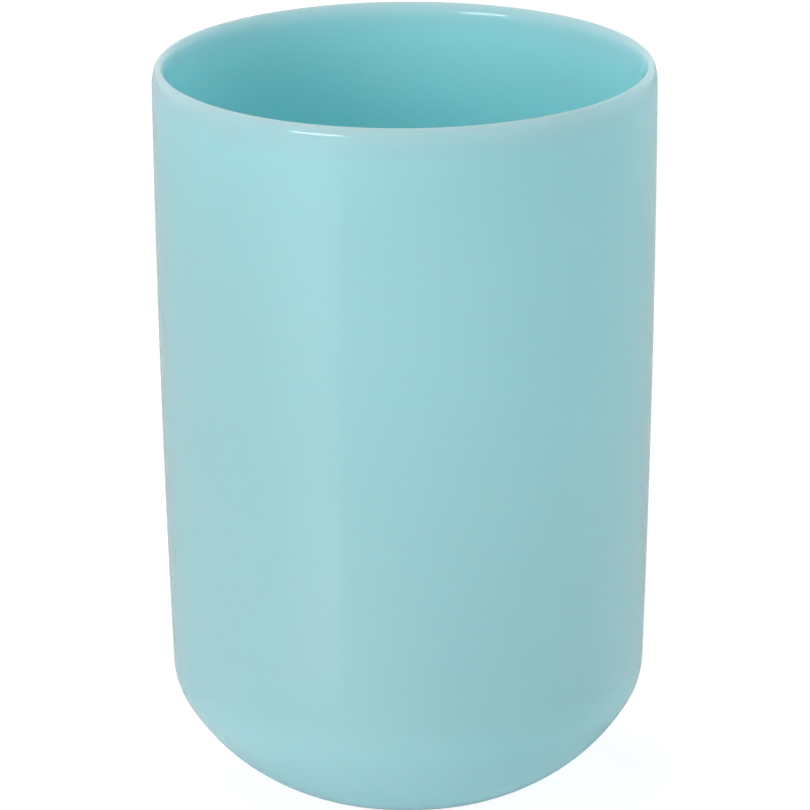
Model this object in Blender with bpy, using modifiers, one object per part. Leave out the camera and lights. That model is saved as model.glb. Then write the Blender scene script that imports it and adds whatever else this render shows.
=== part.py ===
"""Bathroom tumbler: a moulded cup with a tapered lip, and the soft ring in its foot that it stands on.

Lengths are in metres and Z is up. The origin is the middle of the circle that the cup stands on.
Both pieces are turned about Z, from outlines of (radius, height) points.
"""

from math import acos, atan, atan2, cos, hypot, pi, radians, sin, sqrt, tan

import bpy

# The cup's outside, with heights above the foot's face
overall_height = 0.104
rim_radius = 0.035
heel_radius = 0.0336
heel_height = 0.0163
knuckle_radius = 0.0102
belly_radius = 0.0292
foot_radius = 0.02

# The wall, and the lip over which it tapers up to the rim
wall_thickness = 0.0019
lip_height = 0.0026

# The floor inside
floor_thickness = 0.0032
floor_corner_radius = 0.008

# The foot: a groove between two lands, and a recess within them
land_width = 0.0014
groove_mouth = 0.0028
groove_root = 0.004
groove_depth = 0.0016
groove_corner_radius = 0.00025
recess_depth = 0.0008
recess_corner_radius = 0.0004
gate_radius = 0.0015
gate_height = 0.0003
gate_corner_radius = 0.0001

# The ring
ring_clearance = 0.0003
ring_stand_off = 0.0004
ring_corner_radius = 0.0003

# How finely the outlines are drawn
turn_steps = 72
wall_steps = 6
lip_steps = 12
arc_steps = 6
corner_steps = 2
smooth_below = radians(24)
merge_distance = 0.00001

lip_half_width = wall_thickness / 2
wall_top = overall_height - ring_stand_off - lip_height
groove_radius = foot_radius - land_width - groove_mouth / 2
recess_radius = groove_radius - groove_mouth / 2 - land_width


def arc(centre, radius, start, end, steps):
    """Points along an arc. Angles turn from straight out towards up."""
    angles = [start + (end - start) * step / steps for step in range(steps + 1)]
    return [(centre[0] + radius * cos(angle), centre[1] + radius * sin(angle)) for angle in angles]


def joined(*stretches):
    """One outline from stretches that meet end to end, with each shared point kept once."""
    outline = []
    for stretch in stretches:
        for point in stretch:
            if not outline or hypot(point[0] - outline[-1][0], point[1] - outline[-1][1]) > merge_distance:
                outline.append(point)
    return outline


def rounded(before, corner, after, fillet):
    """A corner of an outline between its two neighbours, rounded by a fillet where it has one."""
    if not fillet:
        return [corner]
    to_before = (before[0] - corner[0], before[1] - corner[1])
    to_after = (after[0] - corner[0], after[1] - corner[1])
    before_length = hypot(*to_before)
    after_length = hypot(*to_after)
    dot = to_before[0] * to_after[0] + to_before[1] * to_after[1]
    half_angle = acos(dot / (before_length * after_length)) / 2
    radius = min(fillet, tan(half_angle) * min(before_length, after_length) / 2)
    reach = radius / tan(half_angle)
    start = [corner[axis] + to_before[axis] * reach / before_length for axis in (0, 1)]
    end = [corner[axis] + to_after[axis] * reach / after_length for axis in (0, 1)]
    middle = [(start[axis] + end[axis]) / 2 for axis in (0, 1)]
    stretch = radius / (sin(half_angle) * hypot(middle[0] - corner[0], middle[1] - corner[1]))
    centre = [corner[axis] + (middle[axis] - corner[axis]) * stretch for axis in (0, 1)]
    first = atan2(start[1] - centre[1], start[0] - centre[0])
    last = atan2(end[1] - centre[1], end[0] - centre[0])
    turn = (last - first + pi) % (2 * pi) - pi
    return arc(centre, radius, first, first + turn, corner_steps)


def cornered(corners):
    """An outline from (radius, height, fillet) corners, in which the first and last are neighbours."""
    points = [corner[:2] for corner in corners]
    fillets = [corner[2] for corner in corners]
    befores = points[-1:] + points[:-1]
    afters = points[1:] + points[:1]
    return joined(*[rounded(*corner) for corner in zip(befores, points, afters, fillets)])


def wall_lean(share):
    """How far the wall leans in, at a share of the way down from the lip to the heel."""
    return atan(2 * (rim_radius - heel_radius) * share / (wall_top - heel_height))


def wall_point(share, depth):
    """A point of the wall, at a depth under its outer face. The wall is upright at the lip and curves in."""
    lean = wall_lean(share)
    radius = rim_radius - (rim_radius - heel_radius) * share ** 2
    height = wall_top - (wall_top - heel_height) * share
    return radius - depth * cos(lean), height + depth * sin(lean)


def lip_outline():
    """The lip's half oval, from the wall's inner face over the rim to its outer face, in even turns."""
    middle = wall_point(0, lip_half_width)
    outline = []
    for step in range(lip_steps + 1):
        turn = pi - pi * step / lip_steps
        across = lip_half_width * cos(turn)
        up = lip_height * sin(turn)
        reach = hypot(across, up)
        outline.append((middle[0] + lip_half_width * across / reach, middle[1] + lip_height * up / reach))
    return outline


# The knuckle rolls the wall inwards, and the belly runs on from it to the foot's edge. The belly's centre
# lies one belly radius from that edge, and the difference of the two radii from the knuckle's centre.
knuckle_centre = wall_point(1, knuckle_radius)
edge_across = foot_radius - knuckle_centre[0]
edge_up = -knuckle_centre[1]
edge_distance = hypot(edge_across, edge_up)
centre_distance = belly_radius - knuckle_radius
along = (edge_distance ** 2 + centre_distance ** 2 - belly_radius ** 2) / (2 * edge_distance)
aside = sqrt(centre_distance ** 2 - along ** 2)
belly_centre = (
    knuckle_centre[0] + (along * edge_across + aside * edge_up) / edge_distance,
    knuckle_centre[1] + (along * edge_up - aside * edge_across) / edge_distance,
)
knuckle_end = atan2(knuckle_centre[1] - belly_centre[1], knuckle_centre[0] - belly_centre[0])
belly_end = atan2(-belly_centre[1], foot_radius - belly_centre[0])

# The fillet round the floor inside touches the floor and the belly's inner face
inner_belly_radius = belly_radius - wall_thickness
corner_height = floor_thickness + floor_corner_radius
corner_distance = inner_belly_radius - floor_corner_radius
corner_across = sqrt(corner_distance ** 2 - (corner_height - belly_centre[1]) ** 2)
corner_centre = (belly_centre[0] + corner_across, corner_height)
corner_end = atan2(corner_height - belly_centre[1], corner_across)


def groove_half_width(height):
    """Half the width of the dovetail groove at a height above the foot's face."""
    return (groove_mouth + (groove_root - groove_mouth) * height / groove_depth) / 2


def body_outline():
    """The cup's section, from the middle of its floor over the rim and down to the gate mark below."""
    shares = [step / wall_steps for step in range(wall_steps + 1)]
    heel = -wall_lean(1)
    inside = joined(
        [(0, floor_thickness)],
        arc(corner_centre, floor_corner_radius, -pi / 2, corner_end, arc_steps),
        arc(belly_centre, inner_belly_radius, corner_end, knuckle_end, arc_steps),
        arc(knuckle_centre, knuckle_radius - wall_thickness, knuckle_end, heel, arc_steps),
        [wall_point(share, wall_thickness) for share in reversed(shares)],
    )
    outside = joined(
        lip_outline(),
        [wall_point(share, 0) for share in shares],
        arc(knuckle_centre, knuckle_radius, heel, knuckle_end, arc_steps),
        arc(belly_centre, belly_radius, knuckle_end, belly_end, arc_steps),
    )
    mouth = groove_half_width(0)
    root = groove_half_width(groove_depth)
    below = cornered([
        (foot_radius, 0, 0),
        (groove_radius + mouth, 0, 0),
        (groove_radius + root, groove_depth, groove_corner_radius),
        (groove_radius - root, groove_depth, groove_corner_radius),
        (groove_radius - mouth, 0, 0),
        (recess_radius, 0, 0),
        (recess_radius - recess_depth, recess_depth, recess_corner_radius),
        (gate_radius, recess_depth, gate_corner_radius),
        (gate_radius, recess_depth - gate_height, gate_corner_radius),
        (0, recess_depth - gate_height, 0),
    ])
    return joined(inside, outside, below)


def ring_outline():
    """The ring's section: a dovetail head in the groove, and a neck that stands clear of the foot."""
    neck = groove_half_width(0) - ring_clearance
    head_height = groove_depth - ring_clearance
    head = groove_half_width(head_height) - ring_clearance
    top = ring_stand_off + head_height
    return cornered([
        (groove_radius + head, top, groove_corner_radius),
        (groove_radius + neck, ring_stand_off, 0),
        (groove_radius + neck, 0, ring_corner_radius),
        (groove_radius - neck, 0, ring_corner_radius),
        (groove_radius - neck, ring_stand_off, 0),
        (groove_radius - head, top, groove_corner_radius),
    ])


def material(name, colour, roughness):
    """A plain plastic finish."""
    finish = bpy.data.materials.new(name)
    finish.use_nodes = True
    shader = finish.node_tree.nodes["Principled BSDF"]
    shader.inputs["Base Color"].default_value = (*colour, 1)
    shader.inputs["Roughness"].default_value = roughness
    shader.inputs["Metallic"].default_value = 0
    finish.diffuse_color = (*colour, 1)
    return finish


def turned(name, outline, closed, finish, height, collection, carrier):
    """A piece turned about Z, with its own zero height placed at the given height."""
    profile = bpy.data.meshes.new(name + "_outline")
    last = len(outline) if closed else len(outline) - 1
    edges = [(point, (point + 1) % len(outline)) for point in range(last)]
    profile.from_pydata([(radius, 0, level) for radius, level in outline], edges, [])
    piece = bpy.data.objects.new(name, profile)
    collection.objects.link(piece)
    turn = piece.modifiers.new("Turn", "SCREW")
    turn.axis = "Z"
    turn.angle = 2 * pi
    turn.screw_offset = 0
    turn.steps = turn_steps
    turn.render_steps = turn_steps
    turn.use_merge_vertices = True
    turn.merge_threshold = merge_distance
    solid = bpy.data.meshes.new_from_object(piece.evaluated_get(bpy.context.evaluated_depsgraph_get()))
    piece.modifiers.clear()
    piece.data = solid
    bpy.data.meshes.remove(profile)
    solid.name = name
    solid.shade_smooth()
    solid.set_sharp_from_angle(angle=smooth_below)
    solid.materials.append(finish)
    piece.location.z = height
    piece.parent = carrier
    return piece


for leftover in list(bpy.data.objects):
    bpy.data.objects.remove(leftover, do_unlink=True)

tumbler = bpy.data.collections.new("tumbler_cup")
bpy.context.scene.collection.children.link(tumbler)
stand = bpy.data.objects.new("tumbler_stand", None)
stand.empty_display_size = foot_radius
tumbler.objects.link(stand)

aqua_plastic = material("aqua_plastic", (0.33, 0.62, 0.66), 0.22)
soft_ring = material("soft_ring", (0.56, 0.61, 0.61), 0.6)

turned("tumbler_body", body_outline(), False, aqua_plastic, ring_stand_off, tumbler, stand)
turned("non_slip_ring", ring_outline(), True, soft_ring, 0, tumbler, stand)
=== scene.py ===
"""A bathroom tumbler: an aqua cup moulded in one piece, standing on a soft ring that sits in its foot."""

from math import atan, atan2, cos, hypot, pi, radians, sin, sqrt, tan

import bpy
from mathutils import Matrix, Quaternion, Vector


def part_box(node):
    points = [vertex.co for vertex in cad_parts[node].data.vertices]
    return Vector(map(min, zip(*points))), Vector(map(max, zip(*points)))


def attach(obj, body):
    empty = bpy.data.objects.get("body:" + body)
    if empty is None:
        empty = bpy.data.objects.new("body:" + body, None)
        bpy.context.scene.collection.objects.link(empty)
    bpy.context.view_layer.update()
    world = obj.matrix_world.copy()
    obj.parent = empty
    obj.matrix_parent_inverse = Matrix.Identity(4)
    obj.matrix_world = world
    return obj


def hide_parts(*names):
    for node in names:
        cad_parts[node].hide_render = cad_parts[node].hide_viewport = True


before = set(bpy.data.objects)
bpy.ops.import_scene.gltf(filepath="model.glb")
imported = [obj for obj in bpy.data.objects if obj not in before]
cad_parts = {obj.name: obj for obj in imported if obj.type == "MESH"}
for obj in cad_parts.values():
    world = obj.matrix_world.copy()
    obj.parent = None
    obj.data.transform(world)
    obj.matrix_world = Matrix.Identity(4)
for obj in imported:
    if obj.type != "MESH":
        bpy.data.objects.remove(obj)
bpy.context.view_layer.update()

# The cup is one injection moulding in a slightly translucent aqua plastic. Its wall is 1.9 mm thick, tapers
# over a rounded lip to the rim and is crowned towards the base, where two arcs roll it in to a flat foot.
# It is the same outline as the solid's, turned in finer steps, and stands on its ring, clear of the floor.
cup_low, cup_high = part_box("tumbler_body")
foot_level = cup_low.z
rim_radius = cup_high.x
heel_radius = 0.0336
heel_height = 0.0163
knuckle_radius = 0.0102
belly_radius = 0.0292
foot_radius = 0.02
wall_thickness = 0.0019
lip_height = 0.0026
floor_thickness = 0.0032
floor_corner_radius = 0.008
land_width = 0.0014
groove_mouth = 0.0028
groove_root = 0.004
groove_depth = 0.0016
groove_corner_radius = 0.00025
recess_depth = 0.0008
recess_corner_radius = 0.0004
gate_radius = 0.0015
gate_height = 0.0003
gate_corner_radius = 0.0001

lip_half_width = wall_thickness / 2
wall_top = cup_high.z - foot_level - lip_height
groove_radius = foot_radius - land_width - groove_mouth / 2
recess_radius = groove_radius - groove_mouth / 2 - land_width

turn_steps = 288
wall_steps = 36
lip_steps = 48
arc_steps = 24
corner_steps = 6
flat_steps = 12
smooth_below = radians(24)
merge_distance = 0.000002


def arc(centre, radius, start, end, steps=arc_steps):
    """Points along an arc. Angles turn from straight out towards up."""
    angles = [start + (end - start) * step / steps for step in range(steps + 1)]
    return [(centre[0] + radius * cos(angle), centre[1] + radius * sin(angle)) for angle in angles]


def joined(*stretches):
    """One outline from stretches that meet end to end, with each shared point kept once."""
    outline = []
    for stretch in stretches:
        for point in stretch:
            if not outline or hypot(point[0] - outline[-1][0], point[1] - outline[-1][1]) > merge_distance:
                outline.append(point)
    return outline


def rounded(before, corner, after, fillet):
    """A corner of an outline between its two neighbours, rounded by a fillet where it has one."""
    if not fillet:
        return [corner]
    to_before = Vector(before) - Vector(corner)
    to_after = Vector(after) - Vector(corner)
    half_angle = to_before.angle(to_after) / 2
    reach = fillet / tan(half_angle)
    start = Vector(corner) + to_before.normalized() * reach
    end = Vector(corner) + to_after.normalized() * reach
    inwards = (to_before.normalized() + to_after.normalized()).normalized()
    centre = Vector(corner) + inwards * fillet / sin(half_angle)
    first = atan2(*(start - centre).yx)
    last = atan2(*(end - centre).yx)
    turn = (last - first + pi) % (2 * pi) - pi
    return arc(centre, fillet, first, first + turn, corner_steps)


def cornered(corners):
    """An outline from (radius, height, fillet) corners, in which the first and last are neighbours."""
    points = [corner[:2] for corner in corners]
    fillets = [corner[2] for corner in corners]
    befores = points[-1:] + points[:-1]
    afters = points[1:] + points[:1]
    return joined(*[rounded(*corner) for corner in zip(befores, points, afters, fillets)])


def turned(name, outline, closed, level):
    """A smooth piece turned about Z from an outline of (radius, height) points, lifted to a level."""
    profile = bpy.data.meshes.new(name + "_outline")
    last = len(outline) if closed else len(outline) - 1
    edges = [(point, (point + 1) % len(outline)) for point in range(last)]
    profile.from_pydata([(radius, 0, level + height) for radius, height in outline], edges, [])
    piece = bpy.data.objects.new(name, profile)
    bpy.context.scene.collection.objects.link(piece)
    turn = piece.modifiers.new("Turn", "SCREW")
    turn.angle = 2 * pi
    turn.steps = turn_steps
    turn.render_steps = turn_steps
    turn.use_merge_vertices = True
    turn.merge_threshold = merge_distance
    solid = bpy.data.meshes.new_from_object(piece.evaluated_get(bpy.context.evaluated_depsgraph_get()))
    piece.modifiers.clear()
    piece.data = solid
    bpy.data.meshes.remove(profile)
    solid.name = name
    solid.shade_smooth()
    solid.set_sharp_from_angle(angle=smooth_below)
    return piece


def wall_lean(share):
    """How far the wall leans in, at a share of the way down from the lip to the heel."""
    return atan(2 * (rim_radius - heel_radius) * share / (wall_top - heel_height))


def wall_point(share, depth):
    """A point of the wall, at a depth under its outer face. The wall is upright at the lip and curves in."""
    lean = wall_lean(share)
    radius = rim_radius - (rim_radius - heel_radius) * share ** 2
    height = wall_top - (wall_top - heel_height) * share
    return radius - depth * cos(lean), height + depth * sin(lean)


def lip_outline():
    """The lip's half oval, from the wall's inner face over the rim to its outer face, in even turns."""
    middle = wall_point(0, lip_half_width)
    outline = []
    for step in range(lip_steps + 1):
        turn = pi - pi * step / lip_steps
        across = lip_half_width * cos(turn)
        up = lip_height * sin(turn)
        reach = hypot(across, up)
        outline.append((middle[0] + lip_half_width * across / reach, middle[1] + lip_height * up / reach))
    return outline


# The knuckle rolls the wall inwards, and the belly runs on from it to the foot's edge
knuckle_centre = wall_point(1, knuckle_radius)
edge_across = foot_radius - knuckle_centre[0]
edge_up = -knuckle_centre[1]
edge_distance = hypot(edge_across, edge_up)
centre_distance = belly_radius - knuckle_radius
along = (edge_distance ** 2 + centre_distance ** 2 - belly_radius ** 2) / (2 * edge_distance)
aside = sqrt(centre_distance ** 2 - along ** 2)
belly_centre = (
    knuckle_centre[0] + (along * edge_across + aside * edge_up) / edge_distance,
    knuckle_centre[1] + (along * edge_up - aside * edge_across) / edge_distance,
)
knuckle_end = atan2(knuckle_centre[1] - belly_centre[1], knuckle_centre[0] - belly_centre[0])
belly_end = atan2(-belly_centre[1], foot_radius - belly_centre[0])
heel = -wall_lean(1)

# Inside, a wide fillet joins the belly to the floor
inner_belly_radius = belly_radius - wall_thickness
corner_height = floor_thickness + floor_corner_radius
corner_distance = inner_belly_radius - floor_corner_radius
corner_across = sqrt(corner_distance ** 2 - (corner_height - belly_centre[1]) ** 2)
corner_centre = (belly_centre[0] + corner_across, corner_height)
corner_end = atan2(corner_height - belly_centre[1], corner_across)


def groove_half_width(height):
    """Half the width of the dovetail groove at a height above the foot's face."""
    return (groove_mouth + (groove_root - groove_mouth) * height / groove_depth) / 2


shares = [step / wall_steps for step in range(wall_steps + 1)]
inside = joined(
    [(corner_centre[0] * step / flat_steps, floor_thickness) for step in range(flat_steps)],
    arc(corner_centre, floor_corner_radius, -pi / 2, corner_end),
    arc(belly_centre, inner_belly_radius, corner_end, knuckle_end),
    arc(knuckle_centre, knuckle_radius - wall_thickness, knuckle_end, heel),
    [wall_point(share, wall_thickness) for share in reversed(shares)],
)
outside = joined(
    lip_outline(),
    [wall_point(share, 0) for share in shares],
    arc(knuckle_centre, knuckle_radius, heel, knuckle_end),
    arc(belly_centre, belly_radius, knuckle_end, belly_end),
)
mouth = groove_half_width(0)
root = groove_half_width(groove_depth)
below = cornered([
    (foot_radius, 0, 0),
    (groove_radius + mouth, 0, 0),
    (groove_radius + root, groove_depth, groove_corner_radius),
    (groove_radius - root, groove_depth, groove_corner_radius),
    (groove_radius - mouth, 0, 0),
    (recess_radius, 0, 0),
    (recess_radius - recess_depth, recess_depth, recess_corner_radius),
    (gate_radius, recess_depth, gate_corner_radius),
    (gate_radius, recess_depth - gate_height, gate_corner_radius),
    (0, recess_depth - gate_height, 0),
])
cup = turned("cup", joined(inside, outside, below), False, foot_level)


class Wire:
    """One output of a material's nodes. Sums and products of wires add the Math nodes that work them out."""

    def __init__(self, tree, socket=None):
        self.tree = tree
        self.socket = socket

    def node(self, kind, settings=None, values=None, output=0):
        """An output of a new node, which gets its settings first and then its sockets' values or links."""
        node = self.tree.nodes.new(kind)
        for name, setting in (settings or {}).items():
            setattr(node, name, setting)
        for name, value in (values or {}).items():
            if isinstance(value, Wire):
                self.tree.links.new(value.socket, node.inputs[name])
            else:
                node.inputs[name].default_value = value
        return Wire(self.tree, node.outputs[output] if node.outputs else None)

    def math(self, operation, first, second):
        return self.node("ShaderNodeMath", {"operation": operation}, {0: first, 1: second})

    def __add__(self, other):
        return self.math("ADD", self, other)

    __radd__ = __add__

    def __sub__(self, other):
        return self.math("SUBTRACT", self, other)

    def __rsub__(self, other):
        return self.math("SUBTRACT", other, self)

    def __mul__(self, other):
        return self.math("MULTIPLY", self, other)

    __rmul__ = __mul__


def bare(owner):
    """The wire from which a material's or a world's nodes are made, once the nodes it came with are gone."""
    owner.use_nodes = True
    owner.node_tree.nodes.clear()
    return Wire(owner.node_tree)


def noise(place, patch_size):
    """Smooth noise about a half, in patches of about a given size."""
    return place.node("ShaderNodeTexNoise", {}, {"Vector": place, "Scale": 1 / patch_size})


def rise(value, low, high):
    """A smooth step from 0 at a low value to 1 at a high one."""
    values = {"Value": value, "From Min": low, "From Max": high}
    return value.node("ShaderNodeMapRange", {"interpolation_type": "SMOOTHSTEP"}, values)


def between(first, second, share):
    """A colour that is some share of the way from one colour to another."""
    first_colour, second_colour, mixed_colour = (6, 7, 2)
    values = {"Factor": share, first_colour: first, second_colour: second}
    return share.node("ShaderNodeMix", {"data_type": "RGBA"}, values, mixed_colour)


def scaled(place, scale):
    """A place with its three coordinates scaled."""
    return place.node("ShaderNodeVectorMath", {"operation": "MULTIPLY"}, {0: place, 1: scale})


def length(place):
    """How far a place lies from the origin."""
    return place.node("ShaderNodeVectorMath", {"operation": "LENGTH"}, {0: place}, "Value")


def coordinate(place, axis):
    """One coordinate of a place: X, Y or Z."""
    return place.node("ShaderNodeSeparateXYZ", {}, {"Vector": place}, axis)


# The plastic lets some light through: what enters the wall comes out millimetres away, red least of all.
# Its pigment lies in faint swirls and upright streaks. The lip's paler, greyer colour is partly the thin
# plastic and partly painted reflection and shade. The mould's polish leaves a faint ripple and peel, its
# recess under the foot is matt, and the foot is scuffed by shelves.
plastic_colour = (0.396, 0.736, 0.82, 1)
swirl_colour = (0.386, 0.725, 0.808, 1)
# The lip's colour is partly the thin plastic's own paleness and partly a painted reflection and painted
# shade.
pale_lip_and_sheen_colour = (0.417, 0.664, 0.752, 1)
scuff_colour = (0.5, 0.72, 0.78, 1)
light_reach = (0.0043, 0.0083, 0.0087)
refraction = 1.5
flattened = (1, 1, 0)
gloss_roughness = 0.11
swirl_size = 0.03
swirl_span = (0.3, 0.7)
swirl_roughness = 0.02
streak_size = 0.004
streak_stretch = (1, 1, 0.12)
streak_roughness = 0.02
streak_share = 0.08
peel_size = 0.0024
peel_share = 0.12
ripple_size = 0.018
ripple_depth = 0.00001
lip_fade = 0.0056
scuff_size = 0.0011
scuff_span = (0.5, 0.62)
scuff_height = 0.0006
scuff_share = 0.6
scuff_roughness = 0.2
recess_roughness = 0.24

plastic = bpy.data.materials.new("aqua_plastic")
wire = bare(plastic)
place = wire.node("ShaderNodeTexCoord", output="Object")
height = coordinate(place, "Z")
radius = length(scaled(place, flattened))
swirl = rise(noise(place, swirl_size), *swirl_span)
streaks = noise(scaled(place, streak_stretch), streak_size)
peel = noise(place, peel_size)
ripple = noise(place, ripple_size)
# The lip's paleness, with its painted reflection and shade, fades in towards the top of the lip.
on_pale_lip_and_sheen = rise(height, cup_high.z - lip_fade, cup_high.z - lip_half_width)
on_foot = 1 - rise(height, foot_level, foot_level + scuff_height)
scuffs = on_foot * rise(noise(place, scuff_size), *scuff_span)
under_foot = 1 - rise(height, foot_level + recess_depth, foot_level + 2 * recess_depth)
in_recess = under_foot * (1 - rise(radius, recess_radius - recess_depth, recess_radius))

colour = between(plastic_colour, swirl_colour, swirl)
colour = between(colour, pale_lip_and_sheen_colour, on_pale_lip_and_sheen)
colour = between(colour, scuff_colour, scuffs * scuff_share)
roughness = gloss_roughness + swirl * swirl_roughness + streaks * streak_roughness
roughness = roughness + scuffs * scuff_roughness + in_recess * recess_roughness
bump = wire.node("ShaderNodeBump", {}, {
    "Distance": ripple_depth,
    "Height": ripple + peel * peel_share + streaks * streak_share,
})
shader = wire.node("ShaderNodeBsdfPrincipled", {}, {
    "Base Color": colour,
    "Roughness": roughness,
    "IOR": refraction,
    "Subsurface Weight": 1,
    "Subsurface Radius": light_reach,
    "Subsurface Scale": 1,
    "Normal": bump,
})
wire.node("ShaderNodeOutputMaterial", {}, {"Surface": shader})
cup.data.materials.append(plastic)
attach(cup, "root")
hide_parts("tumbler_body")

# The ring is a soft elastomer moulding with a dovetail head, pushed into the groove of the foot.
# It stands a little proud of the foot all round, so that the cup rests on it and not on hard plastic.
ring_clearance = 0.0003
ring_corner_radius = 0.0003
ring_colour = (0.56, 0.61, 0.61, 1)
bloom_colour = (0.63, 0.66, 0.66, 1)
ring_roughness = 0.66
bloom_size = 0.003
bloom_span = (0.35, 0.75)
bloom_roughness = 0.08
rubbed_roughness = 0.12
grain_size = 0.00024
grain_depth = 0.00001

neck = groove_half_width(0) - ring_clearance
head_height = groove_depth - ring_clearance
head = groove_half_width(head_height) - ring_clearance
ring_outline = cornered([
    (groove_radius + head, foot_level + head_height, groove_corner_radius),
    (groove_radius + neck, foot_level, 0),
    (groove_radius + neck, 0, ring_corner_radius),
    (groove_radius - neck, 0, ring_corner_radius),
    (groove_radius - neck, foot_level, 0),
    (groove_radius - head, foot_level + head_height, groove_corner_radius),
])
ring = turned("ring", ring_outline, True, 0)

elastomer = bpy.data.materials.new("soft_ring")
wire = bare(elastomer)
place = wire.node("ShaderNodeTexCoord", output="Object")
height = coordinate(place, "Z")
bloom = rise(noise(place, bloom_size), *bloom_span)
rubbed = 1 - rise(height, 0, ring_corner_radius)
bump = wire.node("ShaderNodeBump", {}, {"Distance": grain_depth, "Height": noise(place, grain_size)})
shader = wire.node("ShaderNodeBsdfPrincipled", {}, {
    "Base Color": between(ring_colour, bloom_colour, bloom),
    "Roughness": ring_roughness + bloom * bloom_roughness - rubbed * rubbed_roughness,
    "Normal": bump,
})
wire.node("ShaderNodeOutputMaterial", {}, {"Surface": shader})
ring.data.materials.append(elastomer)
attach(ring, "root")
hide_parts("non_slip_ring")

# The floor is matt white paint. The camera sees mostly its own white, with the cup's soft shadow left in it,
# and it is open from below, so that the underside can be looked at. A brighter sector to the left shows only
# in gloss: the cup's wall mirrors it as an upright band. It lies a hair below the ring, for the light table.
floor_size = 2
floor_gap = 0.0005
floor_white = 0.8
own_white = 1.25
own_white_share = 0.7
mirror_share = 0.02
band_strength = 1.49
band_azimuth = radians(-40)
band_root = (rim_radius * sin(band_azimuth / 2), -rim_radius * cos(band_azimuth / 2), 0)
band_start = (radians(-75), radians(-42))
band_end = (radians(-31.5), radians(-28))
band_near = (0.03, 0.07)
bpy.ops.mesh.primitive_plane_add(size=floor_size)
floor = bpy.context.object
floor.name = "floor"
floor.location.z = -floor_gap
paint = bpy.data.materials.new("floor_paint")
wire = bare(paint)
rays = ("Is Camera Ray", "Is Glossy Ray", "Is Transmission Ray")
camera_ray, glossy_ray, through_ray = [wire.node("ShaderNodeLightPath", output=ray) for ray in rays]
matt = wire.node("ShaderNodeBsdfDiffuse", {}, {"Color": (floor_white, floor_white, floor_white, 1)})
glow = wire.node("ShaderNodeEmission", {}, {"Strength": own_white})
own_share = camera_ray * own_white_share + (glossy_ray + through_ray) * mirror_share
painted = wire.node("ShaderNodeMixShader", {}, {0: own_share, 1: matt, 2: glow})
place = wire.node("ShaderNodeTexCoord", output="Object")
from_root = place.node("ShaderNodeVectorMath", {"operation": "SUBTRACT"}, {0: place, 1: band_root})
azimuth = place.math("ARCTAN2", coordinate(from_root, "X"), coordinate(from_root, "Y") * -1)
in_band = rise(azimuth, *band_start) * (1 - rise(azimuth, *band_end)) * rise(length(from_root), *band_near)
band = wire.node("ShaderNodeEmission", {}, {"Strength": band_strength})
white = wire.node("ShaderNodeMixShader", {}, {0: glossy_ray * in_band, 1: painted, 2: band})
from_below = wire.node("ShaderNodeNewGeometry", output="Backfacing")
clear = wire.node("ShaderNodeBsdfTransparent")
surface = wire.node("ShaderNodeMixShader", {}, {0: from_below, 1: white, 2: clear})
wire.node("ShaderNodeOutputMaterial", {}, {"Surface": surface})
floor.data.materials.append(paint)

# The room is plain white. What the camera, gloss and clear surfaces see of it is full white, and it lights
# the cup only a little, from every side.
room_strength = 0.163
room_colour = (1, 1, 1, 1)
world = bpy.data.worlds.new("room")
bpy.context.scene.world = world
wire = bare(world)
camera_ray, glossy_ray, through_ray = [wire.node("ShaderNodeLightPath", output=ray) for ray in rays]
seen = camera_ray + glossy_ray + through_ray
strength = seen + (1 - seen) * room_strength
room = wire.node("ShaderNodeBackground", {}, {"Color": room_colour, "Strength": strength})
wire.node("ShaderNodeOutputWorld", {}, {"Surface": room})


# Softboxes stand around the cup: a key to the left of the camera, a fill and a side light to the right, and
# a high one behind. A low one shows only in gloss, as the two thin glints on the lip.
def lamp(name, width, height, power):
    """A soft lamp that lights the cup, but isn't mirrored in it. It shines down until it is turned."""
    light = bpy.data.lights.new(name, "AREA")
    light.shape = "RECTANGLE"
    light.size = width
    light.size_y = height
    light.energy = power
    box = bpy.data.objects.new(name, light)
    bpy.context.scene.collection.objects.link(box)
    box.visible_camera = False
    box.visible_glossy = False
    return box


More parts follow.
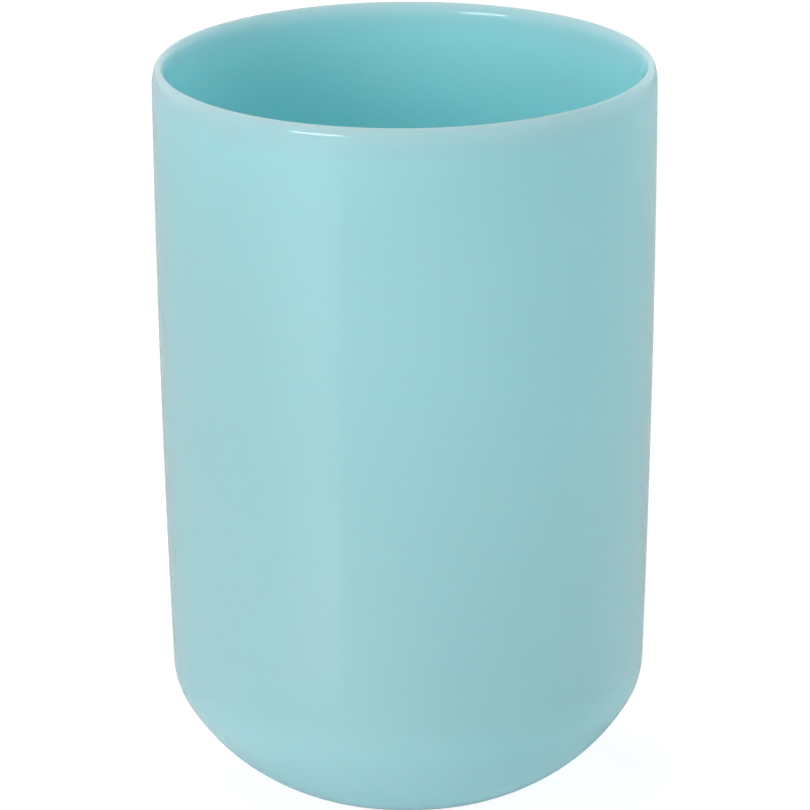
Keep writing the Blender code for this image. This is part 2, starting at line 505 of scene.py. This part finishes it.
def stand(box, azimuth, elevation, distance):
    """Stands a lamp beside the cup, facing its middle. Azimuth is 0 at the camera and 90 to its right."""
    around = radians(azimuth)
    outwards = Vector((sin(around), -cos(around), tan(radians(elevation)))).normalized()
    box.location = Vector((0, 0, cup_high.z / 2)) + outwards * distance
    box.rotation_euler = outwards.to_track_quat("Z", "Y").to_euler()


stand(lamp("key_softbox", width=0.5, height=0.4, power=5.2), azimuth=-42, elevation=17, distance=1)
stand(lamp("fill_softbox", width=0.6, height=0.6, power=2.1), azimuth=45, elevation=15, distance=1.1)
stand(lamp("side_softbox", width=0.6, height=0.6, power=3.6), azimuth=105, elevation=10, distance=1.1)
stand(lamp("back_softbox", width=0.6, height=0.8, power=5.06), azimuth=-150, elevation=55, distance=1.1)
glint = lamp("glint_softbox", width=0.41, height=0.1, power=1.2)
stand(glint, azimuth=-40, elevation=15, distance=1)
glint.visible_diffuse = False
glint.visible_glossy = True

# A small round light table lies under the cup, in the gap between its ring and the floor. It lights the
# belly and the underside from below.
table = lamp("light_table", width=0.35, height=0.35, power=0.069)
table.data.shape = "DISK"
table.location.z = -floor_gap / 2
table.rotation_euler.x = pi

# The camera stands 0.73 m in front of the cup and looks down on it by 18.65 degrees. It was fitted to the
# outline and the front rim's line in the photograph.
camera_distance = 0.72756
camera_pitch = 0.32551
camera_roll = -0.00623
aim = Vector((-0.00024, 0, 0.05398))
focal_length_pixels = 5147.15
picture_width_pixels = 810
nearest_seen = 0.01

camera_data = bpy.data.cameras.new("camera")
camera_data.lens = focal_length_pixels * camera_data.sensor_width / picture_width_pixels
camera_data.clip_start = nearest_seen
camera = bpy.data.objects.new("camera", camera_data)
bpy.context.scene.collection.objects.link(camera)
camera.location = (0, -camera_distance * cos(camera_pitch), aim.z + camera_distance * sin(camera_pitch))
looking = (aim - camera.location).to_track_quat("-Z", "Y")
camera.rotation_euler = (looking @ Quaternion((0, 0, 1), camera_roll)).to_euler()
bpy.context.scene.camera = camera
bpy.context.scene.view_settings.view_transform = "Standard"
